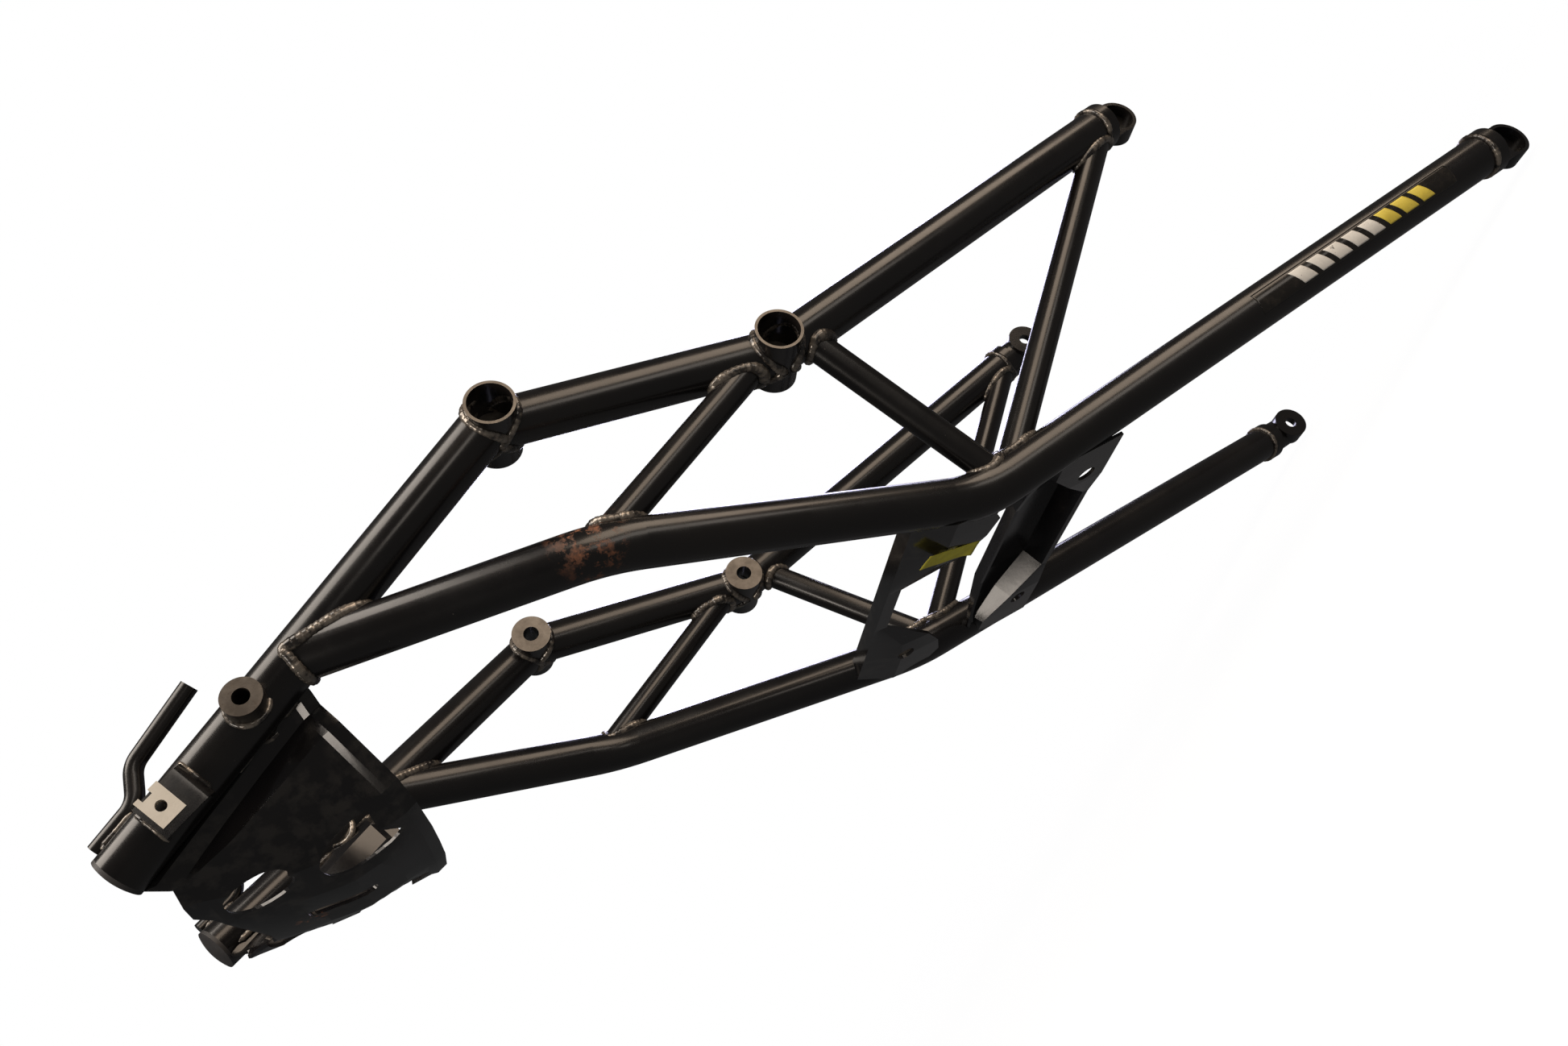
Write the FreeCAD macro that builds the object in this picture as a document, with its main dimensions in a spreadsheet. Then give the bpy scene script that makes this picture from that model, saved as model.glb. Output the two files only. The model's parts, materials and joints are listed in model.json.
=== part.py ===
"""Tubular steel rear subframe of a motorcycle, in millimetres.

+X points forward to the four bolting lugs, +Y to the left, +Z up.
The origin is on the axis of the lower front bolt, midway between the two lower lugs.
The left side is built piece by piece, and the right side mirrors it.
"""
import FreeCAD, Part
import math
import os

Vector = FreeCAD.Vector
Placement = FreeCAD.Placement
Rotation = FreeCAD.Rotation
X_AXIS = Vector(1, 0, 0)
Y_AXIS = Vector(0, 1, 0)
Z_AXIS = Vector(0, 0, 1)

# The nodes of the space frame's left side: x, y, z.
NODES = {
    "lower_front": (-24.7, 152.2, 9.6),
    "lower_bend": (-376.3, 94.6, 138.0),
    "lower_kink": (-532.7, 134.3, 259.4),
    "tail_joint": (-647.3, 99.7, 347.6),
    "upper_front": (-118.0, 118.3, 209.6),
    "front_bush": (-388.1, 129.3, 262.7),
    "rear_bush": (-509.1, 127.7, 346.2),
    "tail_start": (-509.1, 132.1, 347.3),
    "tail_end": (-758.6, 73.6, 346.8),
    "front_brace_top": (-120.4, 117.3, 205.3),
    "front_brace_foot": (-359.6, 97.4, 131.9),
    "middle_brace_top": (-371.1, 130.5, 259.4),
    "middle_brace_foot": (-359.8, 96.4, 132.0),
    "rear_brace_top": (-394.7, 128.7, 267.3),
    "rear_brace_foot": (-537.4, 131.6, 263.0),
    "lower_lug": (0.0, 147.6, 0.0),
    "upper_lug": (-94.2, 110.0, 204.6),
    "tail_boss": (-676.6, 114.0, 345.7),
    "clip_hole": (-729.0, 101.8, 341.8),
    "rear_tab_hole": (-396.5, 64.5, 136.7),
    "front_tab_hole": (-312.5, 74.9, 99.7),
    "hook_start": (-757.9, 75.0, 361.5),
    "hook_rise": (-733.9, 79.5, 362.1),
    "hook_top": (-722.9, 81.5, 375.3),
    "hook_end": (-682.9, 89.0, 380.3),
}
# Sections, lengths and hole sizes.
SIZES = {
    "rail_radius": 12.5,
    "rail_wall": 1.75,
    "rail_bend": 80.0,
    "brace_radius": 8.0,
    "brace_wall": 1.5,
    "mitre_block": 60.0,
    "bush_radius": 12.5,
    "bush_cup_radius": 11.0,
    "bush_cup_depth": 24.0,
    "bush_hole": 5.0,
    "front_bush_outer": 149.0,
    "front_bush_inner": 111.7,
    "rear_bush_outer": 147.4,
    "rear_bush_inner": 108.4,
    "lug_radius": 12.5,
    "lug_width": 12.0,
    "lug_cup_radius": 10.3,
    "lug_cup_depth": 7.0,
    "lug_cup_flat": 5.5,
    "lug_hole": 4.25,
    "collar_radius": 14.2,
    "collar_length": 7.0,
    "neck_radius": 12.0,
    "tail_cap_edge": 2.0,
    "tail_cap_crown": 2.2,
    "tail_boss_radius": 9.25,
    "tail_boss_length": 31.0,
    "tail_boss_hole": 4.0,
    "sheet_metal": 2.0,
    "tab_hole": 5.5,
    "tool_length": 60.0,
    "hook_radius": 4.25,
    "hook_bend": 12.0,
    "clip_length": 26.0,
    "clip_height": 19.0,
    "clip_depth": 14.5,
    "clip_round": 6.0,
    "clip_tilt": 20.0,
    "clip_bolt_hole": 3.25,
    "nut_length": 12.5,
    "nut_height": 15.0,
    "nut_plate": 1.2,
    "nut_barrel": 4.6,
    "nut_barrel_length": 5.0,
    "nut_thread": 2.5,
    "nut_notch": 5.0,
    "slot_length": 30.0,
    "slot_width": 8.0,
}

os.makedirs("parts", exist_ok=True)
doc = FreeCAD.newDocument("rear_subframe")
sheet = doc.addObject("Spreadsheet::Sheet", "Sizes")
pieces = []


def fill_sheet():
    """Write every node and size as a plain number with an alias."""
    cells = dict(SIZES)
    for name, position in NODES.items():
        for axis, value in zip("xyz", position):
            cells[f"{name}_{axis}"] = value
    for row, (alias, value) in enumerate(cells.items(), start=1):
        sheet.set(f"A{row}", alias)
        sheet.set(f"B{row}", str(value))
        sheet.setAlias(f"B{row}", alias)
    doc.recompute()


def size(alias):
    return float(sheet.get(alias))


def node(name):
    return Vector(*(size(f"{name}_{axis}") for axis in "xyz"))


def span(start, end):
    """The expression for the distance between two nodes."""
    squares = [f"(Sizes.{start}_{axis} - Sizes.{end}_{axis})^2" for axis in "xyz"]
    return "sqrt(" + " + ".join(squares) + ")"


def aimed(position, direction):
    """A placement that turns local Z to a direction."""
    return Placement(position, Rotation(Z_AXIS, direction))


def cylinder(name, radius, height, placement):
    """A cylinder whose radius and height are expressions."""
    solid = doc.addObject("Part::Cylinder", name)
    solid.setExpression("Radius", radius)
    solid.setExpression("Height", height)
    solid.Placement = placement
    return solid


def box(name, length, width, height, placement):
    """A box whose length, width and height are expressions."""
    solid = doc.addObject("Part::Box", name)
    solid.setExpression("Length", length)
    solid.setExpression("Width", width)
    solid.setExpression("Height", height)
    solid.Placement = placement
    return solid


def fuse(name, *shapes):
    result = doc.addObject("Part::MultiFuse", name)
    result.Shapes = list(shapes)
    return result


def cut(name, base, *tools):
    """The base less its tools."""
    result = doc.addObject("Part::Cut", name)
    result.Base = base
    result.Tool = tools[0] if len(tools) == 1 else fuse(f"{name}_tools", *tools)
    return result


def feature(name, shape):
    """A Part::Feature for a shape made with Part's own functions."""
    result = doc.addObject("Part::Feature", name)
    result.Shape = shape
    result.Placement = Placement()
    return result


def mirrored(name, source):
    """The source reflected in the frame's middle plane."""
    result = doc.addObject("Part::Mirroring", name)
    result.Source = source
    result.Base = Vector(0, 0, 0)
    result.Normal = Y_AXIS
    return result


def single(label, result):
    """Register a sub-part that lies across the middle plane."""
    result.Label = label
    pieces.append(result)
    return result


def pair(label, result):
    """Register a left sub-part and its mirror image on the right."""
    single(f"{label}_left", result)
    single(f"{label}_right", mirrored(f"{label}_mirrored", result))
    return result


def rod(name, start, end, radius):
    """A solid cylinder between two nodes."""
    return cylinder(name, radius, span(start, end), aimed(node(start), node(end) - node(start)))


def tube(label, start, end, kind, tools):
    """A hollow tube between two nodes, cut to its neighbours by the tools."""
    wall = rod(f"{label}_wall", start, end, f"Sizes.{kind}_radius")
    bore = rod(f"{label}_bore", start, end, f"Sizes.{kind}_radius - Sizes.{kind}_wall")
    return pair(label, cut(f"{label}_tube", wall, bore, *tools))


def mitre(name, corner, keep, lose):
    """A block on the far side of the plane that halves the turn at a corner node."""
    here = node(corner)
    normal = (node(lose) - here).normalize() - (node(keep) - here).normalize()
    normal.normalize()
    across = normal.cross(Y_AXIS).normalize()
    along = normal.cross(across)
    half = size("mitre_block") / 2
    origin = here - across * half - along * half
    side = "Sizes.mitre_block"
    return box(name, side, side, side, Placement(origin, Rotation(across, along, normal, "ZXY")))


def bent_path(points, radius):
    """Straight runs through the points, joined by tangent arcs of one radius."""
    edges = []
    last = points[0]
    for before, corner, after in zip(points, points[1:], points[2:]):
        arriving = (before - corner).normalize()
        leaving = (after - corner).normalize()
        half_turn = arriving.getAngle(leaving) / 2
        setback = radius / math.tan(half_turn)
        inward = (arriving + leaving).normalize()
        middle = corner + inward * (radius / math.sin(half_turn) - radius)
        first = corner + arriving * setback
        second = corner + leaving * setback
        edges.append(Part.LineSegment(last, first).toShape())
        edges.append(Part.Arc(first, middle, second).toShape())
        last = second
    edges.append(Part.LineSegment(last, points[-1]).toShape())
    return Part.Wire(edges)


def swept_round(names, bend, radius):
    """A solid round bar along straight runs and bends."""
    points = [node(name) for name in names]
    direction = (points[1] - points[0]).normalize()
    profile = Part.Wire([Part.Circle(points[0], direction, radius).toShape()])
    return bent_path(points, bend).makePipeShell([profile], True, False)


# ---------------------------------------------------------------- bushes, bosses and lugs

def bush(label, outer_alias, inner_alias):
    """A bush across a corner of the upper rail: a deep cup outside and a bolt hole inside."""
    centre = node(label)
    inner = Vector(centre.x, size(inner_alias), centre.z)
    length = f"Sizes.{outer_alias} - Sizes.{inner_alias}"
    floor = Vector(centre.x, size(outer_alias) - size("bush_cup_depth"), centre.z)
    body = cylinder(f"{label}_body", "Sizes.bush_radius", length, aimed(inner, Y_AXIS))
    cup = cylinder(f"{label}_cup", "Sizes.bush_cup_radius", length, aimed(floor, Y_AXIS))
    hole = cylinder(f"{label}_hole", "Sizes.bush_hole", length, aimed(inner, Y_AXIS))
    pair(label, cut(f"{label}_turned", body, cup, hole))
    return body


def tail_boss():
    """A threaded boss that passes through the tail tube."""
    face = aimed(node("tail_boss"), -Y_AXIS)
    body = cylinder("boss_body", "Sizes.tail_boss_radius", "Sizes.tail_boss_length", face)
    hole = cylinder("boss_hole", "Sizes.tail_boss_hole", "Sizes.tail_boss_length", face)
    pair("tail_boss", cut("boss_bored", body, hole))
    return body


def lug(label, tube_end, tube_far_end):
    """A forged lug: a collar on the tube's end, a neck milled flat, and an eye with a D recess."""
    eye_centre = node(label)
    half_width = Y_AXIS * size("lug_width") / 2
    inner = eye_centre - half_width
    start = node(tube_end)
    tube_line = (start - node(tube_far_end)).normalize()
    collar = cylinder(
        f"{label}_collar", "Sizes.collar_radius", "Sizes.collar_length", aimed(start, tube_line)
    )
    neck = cylinder(
        f"{label}_neck", "Sizes.neck_radius", span(tube_end, label), aimed(start, tube_line)
    )
    forward = Vector(tube_line.x, 0, tube_line.z).normalize()
    upward = forward.cross(Y_AXIS)
    turn = Rotation(forward, Y_AXIS, upward, "YXZ")
    slab_start = inner - upward * size("mitre_block") / 2 - forward * size("mitre_block") / 2
    slab = box(
        f"{label}_slab", "Sizes.mitre_block", "Sizes.lug_width", "Sizes.mitre_block",
        Placement(slab_start, turn),
    )
    flattened = doc.addObject("Part::Common", f"{label}_flattened")
    flattened.Base = neck
    flattened.Tool = slab
    eye = cylinder(f"{label}_eye", "Sizes.lug_radius", "Sizes.lug_width", aimed(inner, Y_AXIS))
    solid = fuse(f"{label}_forging", collar, flattened, eye)
    floor = eye_centre + half_width - Y_AXIS * size("lug_cup_depth")
    cup = cylinder(f"{label}_cup", "Sizes.lug_cup_radius", "Sizes.lug_width", aimed(floor, Y_AXIS))
    flat_start = floor - forward * size("lug_cup_flat") - upward * size("lug_radius")
    keep = box(
        f"{label}_flat", "2 * Sizes.lug_radius", "Sizes.lug_width", "2 * Sizes.lug_radius",
        Placement(flat_start, turn),
    )
    recess = doc.addObject("Part::Common", f"{label}_recess")
    recess.Base = cup
    recess.Tool = keep
    hole = cylinder(f"{label}_bore", "Sizes.lug_hole", "Sizes.lug_width", aimed(inner, Y_AXIS))
    pair(label, cut(f"{label}_machined", solid, recess, hole))


def tail_cap():
    """A domed disc that closes the tail tube's rear end."""
    end = node("tail_end")
    rearward = (end - node("tail_start")).normalize()
    radius = size("rail_radius")
    crown = size("tail_cap_crown")
    dome_radius = (radius * radius + crown * crown) / (2 * crown)
    disc = cylinder(
        "cap_disc", "Sizes.rail_radius", "Sizes.tail_cap_edge + Sizes.tail_cap_crown",
        aimed(end, rearward),
    )
    dome = doc.addObject("Part::Sphere", "cap_dome")
    dome.Radius = dome_radius
    dome.Placement = aimed(end + rearward * (size("tail_cap_edge") + crown - dome_radius), rearward)
    domed = doc.addObject("Part::Common", "cap_domed")
    domed.Base = disc
    domed.Tool = dome
    pair("tail_cap", domed)


# ---------------------------------------------------------------- rails and braces

def rails(front_bush, rear_bush, boss):
    """The upper rail in three tubes and the lower rail in one; returns their outlines."""
    tube(
        "upper_front_tube", "upper_front", "front_bush", "rail",
        [front_bush, mitre("mitre_a", "front_bush", "upper_front", "rear_bush")],
    )
    tube(
        "upper_middle_tube", "front_bush", "rear_bush", "rail",
        [
            front_bush, rear_bush,
            mitre("mitre_b", "front_bush", "rear_bush", "upper_front"),
            mitre("mitre_c", "rear_bush", "front_bush", "tail_end"),
        ],
    )
    tube(
        "tail_tube", "tail_start", "tail_end", "rail",
        [rear_bush, boss, mitre("mitre_d", "rear_bush", "tail_end", "front_bush")],
    )
    outlines = {
        "front": rod("upper_front_outline", "upper_front", "front_bush", "Sizes.rail_radius"),
        "middle": rod("upper_middle_outline", "front_bush", "rear_bush", "Sizes.rail_radius"),
        "tail": rod("tail_outline", "tail_start", "tail_end", "Sizes.rail_radius"),
    }
    route = ["lower_front", "lower_bend", "lower_kink", "tail_joint"]
    outer = swept_round(route, size("rail_bend"), size("rail_radius"))
    inner = swept_round(route, size("rail_bend"), size("rail_radius") - size("rail_wall"))
    outlines["lower"] = feature("lower_outline", outer)
    lower_bore = feature("lower_bore", inner)
    lower = cut("lower_rail_tube", outlines["lower"], lower_bore, outlines["tail"])
    pair("lower_rail", lower)
    return outlines


def braces(outlines, front_bush):
    """The three braces of one side, coped to the rails and to each other."""
    middle_outline = rod(
        "middle_brace_outline", "middle_brace_top", "middle_brace_foot", "Sizes.brace_radius"
    )
    tube(
        "front_brace", "front_brace_top", "front_brace_foot", "brace",
        [outlines["front"], outlines["lower"], middle_outline],
    )
    tube(
        "middle_brace", "middle_brace_top", "middle_brace_foot", "brace",
        [outlines["front"], outlines["lower"], front_bush],
    )
    tube(
        "rear_brace", "rear_brace_top", "rear_brace_foot", "brace",
        [outlines["middle"], outlines["front"], outlines["lower"], front_bush],
    )


# ---------------------------------------------------------------- pressed sheet metal

def offset_line(points, distance):
    """A polyline moved sideways to its left, with mitred corners."""
    normals = []
    for (a, b), (c, d) in zip(points, points[1:]):
        length = math.hypot(c - a, d - b)
        normals.append(((b - d) / length, (c - a) / length))
    corners = [normals[0]]
    for (a, b), (c, d) in zip(normals, normals[1:]):
        stretch = 1 + a * c + b * d
        corners.append(((a + c) / stretch, (b + d) / stretch))
    corners.append(normals[-1])
    return [(a + n[0] * distance, b + n[1] * distance) for (a, b), n in zip(points, corners)]


def pressing(name, sections, place, thickness):
    """Sheet metal lofted through sections; place turns a station and a point to a vector."""
    wires = []
    for station, points in sections:
        outline = points + offset_line(points, thickness)[::-1]
        corners = [place(station, *point) for point in outline]
        wires.append(Part.makePolygon(corners + corners[:1]))
    return feature(name, Part.makeLoft(wires, True, True))


def tab_plane():
    """The plane of the four tab holes: a point in it, its forward line and its upward normal."""
    rear = node("rear_tab_hole")
    front = node("front_tab_hole")
    origin = Vector(rear.x, 0, rear.z)
    forward = Vector(front.x - rear.x, 0, front.z - rear.z).normalize()
    return origin, forward, forward.cross(Y_AXIS)


def tab_holes(name, hole_node):
    """Drills for one mirrored pair of tab holes."""
    origin, forward, normal = tab_plane()
    hole = node(hole_node)
    drills = []
    for side_name, side in (("left", 1), ("right", -1)):
        start = Vector(hole.x, side * hole.y, hole.z) - normal * size("tool_length") / 2
        place = aimed(start, normal)
        drills.append(cylinder(f"{name}_{side_name}", "Sizes.tab_hole", "Sizes.tool_length", place))
    return drills


def both_ways(sections):
    """Sections of one half, from the middle out, repeated on the other side of the middle."""
    return [(-station, points) for station, points in sections[::-1]] + sections


def crossmember(label, sections, hole_node, rail_outlines):
    """A pressed crossmember between the lower rails; sections run from the middle out."""
    origin, forward, normal = tab_plane()

    def place(station, along, above):
        return origin + forward * along + normal * above + Y_AXIS * station

    sheet_body = pressing(f"{label}_sheet", both_ways(sections), place, size("sheet_metal"))
    drills = tab_holes(f"{label}_drill", hole_node)
    single(label, cut(f"{label}_drilled", sheet_body, *drills, *rail_outlines))


def rear_crossmember(rail_outlines):
    """An angle: a low web with a narrow flange that widens into a tab at each end."""
    web = [(-22.5, 21.2), (-25.5, 10.0)]
    sections = [
        (24.0, web + [(-21.0, 9.6), (-17.0, 9.2)]),
        (50.0, web + [(-5.0, 2.5), (14.0, 1.0)]),
        (66.0, web + [(-3.0, 0.8), (24.0, -0.6)]),
        (82.0, web + [(-3.0, 0.6), (28.0, -1.0)]),
        (98.0, web + [(-3.0, 0.6), (18.0, -0.6)]),
    ]
    crossmember("rear_crossmember", sections, "rear_tab_hole", rail_outlines)


def front_crossmember(rail_outlines):
    """A raised panel with a wall at each edge; the front wall turns out into corner tabs."""
    raised = 17.0
    sections = [
        (44.0, [(62.0, 11.0), (63.0, raised), (99.0, raised), (103.0, 3.0), (106.5, 2.4)]),
        (66.0, [(60.0, 7.5), (61.5, 12.5), (79.0, 12.5), (83.0, 1.0), (106.5, 0.5)]),
        (86.0, [(58.5, 3.5), (60.0, 6.5), (63.0, 6.5), (66.0, 0.5), (106.5, 0.5)]),
        (104.0, [(58.0, 1.2), (60.0, 1.4), (63.0, 1.4), (66.0, 0.5), (106.5, 0.5)]),
    ]
    crossmember("front_crossmember", sections, "front_tab_hole", rail_outlines)


def tray_place(ahead, across, below):
    """A point of the tray: ahead of the tail tubes' ends, across to the left, and below them."""
    end = node("tail_end")
    return Vector(end.x + ahead, across, end.z - below)


def tail_box(outlines):
    """An open pressed tray slung between the tail tubes, with ribbed sides."""
    weld_inset = 7.0
    weld_drop = 5.0
    tail_line = node("tail_start") - node("tail_end")
    splay = tail_line.y / tail_line.x
    # Each section: how far ahead of the tail tubes' ends, then points of the left half, from the
    # rim in to the middle, as the distance across and the distance below the tail tubes.
    half_sections = [
        (4.0, [(69.0, 17.0), (67.5, 19.5), (55.0, 23.5), (41.0, 25.5), (20.0, 26.5)]),
        (17.0, [(70.5, 20.0), (69.5, 22.5), (55.5, 27.5), (42.0, 29.5), (22.0, 32.5)]),
        (41.0, [(75.5, 18.5), (68.5, 27.5), (56.0, 35.5), (46.5, 40.0), (23.0, 55.5)]),
        (63.0, [(79.0, 17.5), (70.5, 27.5), (57.5, 48.0), (48.0, 52.0), (23.5, 66.0)]),
        (87.0, [(82.0, 16.5), (73.5, 26.5), (59.5, 58.5), (45.0, 67.5), (23.0, 74.0)]),
        (95.0, [(83.0, 16.5), (74.5, 26.5), (61.0, 61.0), (44.5, 71.0), (22.5, 74.0)]),
        (97.5, [(85.0, 17.0), (77.5, 27.0), (63.5, 63.0), (45.0, 73.0), (22.5, 74.5)]),
        (103.5, [(85.0, 17.0), (77.5, 27.0), (63.5, 63.5), (44.5, 73.5), (22.5, 74.5)]),
    ]
    sections = []
    for ahead, half in half_sections:
        weld = (node("tail_end").y + splay * ahead - weld_inset, weld_drop)
        right = [(-across, below) for across, below in [weld] + half]
        left = [(-across, below) for across, below in right[::-1]]
        sections.append((ahead, right + left))
    tray = pressing("tray_sheet", sections, tray_place, -size("sheet_metal"))
    mirrored_outlines = [mirrored(f"tray_{name}", outlines[name]) for name in ("tail", "lower")]
    tools = [outlines["tail"], outlines["lower"], *mirrored_outlines]
    cutters = tray_slot() + tray_windows() + [tray_notch()]
    single("tail_box", cut("tray_cut", tray, *cutters, *tools))


def tray_slot():
    """Cutters for the fore-and-aft slot in the middle of the tray's floor."""
    centre = tray_place(51.0, 0, 95.0)
    half_run = (size("slot_length") - size("slot_width")) / 2
    corner = centre - X_AXIS * half_run - Y_AXIS * size("slot_width") / 2
    middle = box(
        "slot_middle", "Sizes.slot_length - Sizes.slot_width", "Sizes.slot_width",
        "Sizes.tool_length", Placement(corner, Rotation()),
    )
    cutters = [middle]
    for name, end in (("rear", -1), ("front", 1)):
        place = Placement(centre + X_AXIS * half_run * end, Rotation())
        cutters.append(
            cylinder(f"slot_{name}", "Sizes.slot_width / 2", "Sizes.tool_length", place)
        )
    return cutters


def tray_windows():
    """Cutters for two oval windows in each side of the tray's floor."""
    start_outside = 8.0
    depth = size("tool_length") / 3
    across = 36.0
    # How far ahead, how far below, and the oval's long and short radii; a window's long way
    # runs forward or across.
    windows = [
        ("rear", 26.0, 34.0, 9.5, 7.5, False),
        ("front", 75.0, 59.0, 20.0, 10.5, True),
    ]
    cutters = []
    for name, ahead, below, long_radius, short_radius, runs_forward in windows:
        oval = Part.Ellipse(Vector(0, 0, 0), long_radius, short_radius).toShape()
        for side_name, side in (("left", 1), ("right", -1)):
            inward = Vector(0, -side * 0.5, 0.85).normalize()
            along = X_AXIS if runs_forward else inward.cross(X_AXIS)
            face = Part.Face(Part.Wire([oval]))
            centre = tray_place(ahead, side * across, below) - inward * start_outside
            face.Placement = Placement(centre, Rotation(along, inward.cross(along), inward, "ZXY"))
            cutters.append(feature(f"window_{name}_{side_name}", face.extrude(inward * depth)))
    return cutters


def tray_notch():
    """A cutter for the notch in the tray's rear edge, which is not central."""
    below = 47.0
    outline = [(-13, -42), (3, -42), (16, 0), (20.5, 25), (5, 58), (-13, 58)]
    corners = [tray_place(ahead, across, below) for ahead, across in outline]
    face = Part.Face(Part.makePolygon(corners + corners[:1]))
    return feature("tray_notch", face.extrude(Z_AXIS * size("tool_length")))


# ---------------------------------------------------------------- hook rods and clip nuts

def hook_rod(outlines):
    """A bent rod laid along the top of the tail tube's end."""
    route = ["hook_start", "hook_rise", "hook_top", "hook_end"]
    body = feature("hook_body", swept_round(route, size("hook_bend"), size("hook_radius")))
    return pair("hook_rod", cut("hook_seated", body, outlines["tail"]))


def clip_frame():
    """The clip face's frame: x forward, y down the face, z outward, origin at its hole."""
    tilt = math.radians(size("clip_tilt"))
    outward = Vector(0, math.cos(tilt), -math.sin(tilt))
    return Placement(node("clip_hole"), Rotation(X_AXIS, outward.cross(X_AXIS), outward, "ZXY"))


def on_clip(along, down, out):
    """A placement in the clip face's frame."""
    return clip_frame().multiply(Placement(Vector(along, down, out), Rotation()))


def clip_block(name, inset, open_ends):
    """The clip's outline, inset by a number of sheet thicknesses, with a round front corner."""
    wall = size("sheet_metal") * inset
    nut_side = size("nut_length") / 2
    start = -nut_side - size("sheet_metal") + wall
    top = -size("nut_height") / 2 - open_ends
    floor = -size("clip_depth") - open_ends
    corner = size("clip_round")
    height = f"Sizes.clip_height + {2 * open_ends}"
    inner = f"{2 * inset} * Sizes.sheet_metal"
    one_wall = f"{inset} * Sizes.sheet_metal"
    rise = f"Sizes.clip_depth + {open_ends}"
    rear = box(
        f"{name}_rear", f"Sizes.clip_length - Sizes.clip_round - {one_wall}", height,
        f"{rise} - {one_wall}", on_clip(start, top, floor),
    )
    front = box(
        f"{name}_front", f"Sizes.clip_length - {inner}", height,
        f"{rise} - Sizes.clip_round", on_clip(start, top, floor),
    )
    axis_along = -nut_side - size("sheet_metal") + size("clip_length") - corner
    roller_place = on_clip(axis_along, top, -corner)
    roller_place = roller_place.multiply(Placement(Vector(0, 0, 0), Rotation(Z_AXIS, Y_AXIS)))
    roller = cylinder(f"{name}_corner", f"Sizes.clip_round - {one_wall}", height, roller_place)
    return fuse(f"{name}_block", rear, front, roller)


def clip_bracket(outlines, hook):
    """A channel-shaped bracket welded to the outside of the tail tube."""
    outside = clip_block("clip_outside", 0, 0)
    inside = clip_block("clip_inside", 1, 4)
    hole = cylinder(
        "clip_hole_drill", "Sizes.clip_bolt_hole", "2 * Sizes.sheet_metal",
        on_clip(0, 0, -size("sheet_metal") * 1.5),
    )
    pair("clip_bracket", cut("clip_formed", outside, inside, hole, outlines["tail"], hook))


def clip_nut():
    """A spring nut: two plates joined over the bracket's upper edge, and a threaded barrel."""
    plate = size("nut_plate")
    metal = size("sheet_metal")
    left = -size("nut_length") / 2
    top = -size("nut_height") / 2
    outer = box(
        "nut_outer", "Sizes.nut_length", "Sizes.nut_height", "Sizes.nut_plate", on_clip(left, top, 0)
    )
    inner = box(
        "nut_inner", "Sizes.nut_length", "Sizes.nut_height", "Sizes.nut_plate",
        on_clip(left, top, -metal - plate),
    )
    over = box(
        "nut_over", "Sizes.nut_length", "Sizes.nut_plate", "Sizes.sheet_metal + 2 * Sizes.nut_plate",
        on_clip(left, top - plate, -metal - plate),
    )
    barrel = cylinder(
        "nut_barrel_body", "Sizes.nut_barrel", "Sizes.nut_barrel_length",
        on_clip(0, 0, -metal - plate - size("nut_barrel_length")),
    )
    thread = cylinder(
        "nut_thread_hole", "Sizes.nut_thread", "Sizes.tool_length",
        on_clip(0, 0, -size("tool_length") / 2),
    )
    notch = box(
        "nut_notch_cut", "Sizes.nut_notch", "3 * Sizes.nut_plate", "Sizes.tool_length",
        on_clip(-size("nut_notch") / 2 - 1, top - 2 * plate, -size("tool_length") / 2),
    )
    solid = fuse("nut_solid", outer, inner, over, barrel)
    pair("clip_nut", cut("nut_finished", solid, thread, notch))


# ---------------------------------------------------------------- the whole frame

def build():
    fill_sheet()
    front_bush = bush("front_bush", "front_bush_outer", "front_bush_inner")
    rear_bush = bush("rear_bush", "rear_bush_outer", "rear_bush_inner")
    boss = tail_boss()
    lug("lower_lug", "lower_front", "lower_bend")
    lug("upper_lug", "upper_front", "front_bush")
    tail_cap()
    outlines = rails(front_bush, rear_bush, boss)
    braces(outlines, front_bush)
    lower_rails = [outlines["lower"], mirrored("lower_outline_right", outlines["lower"])]
    rear_crossmember(lower_rails)
    front_crossmember(lower_rails)
    tail_box(outlines)
    hook = hook_rod(outlines)
    clip_bracket(outlines, hook)
    clip_nut()
    doc.recompute()


def check():
    """Stop on any failed object or any sub-part whose shape is missing or invalid."""
    for item in doc.Objects:
        if "Invalid" in item.State or "Error" in item.State:
            raise RuntimeError(f"{item.Name} failed: {item.State}")
    for item in pieces:
        if item.Shape.isNull() or not item.Shape.isValid():
            raise RuntimeError(f"{item.Label} has a null or invalid shape")


def export():
    for item in pieces:
        item.Shape.exportStep(f"parts/{item.Label}.step")
        solids = len(item.Shape.Solids)
        print(f"{item.Label}: {solids} solid(s), {item.Shape.Volume / 1000:.2f} cm3")


build()
check()
export()
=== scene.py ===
import json
import math
import random

import bmesh
import bpy
from mathutils import Matrix, Vector


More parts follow.
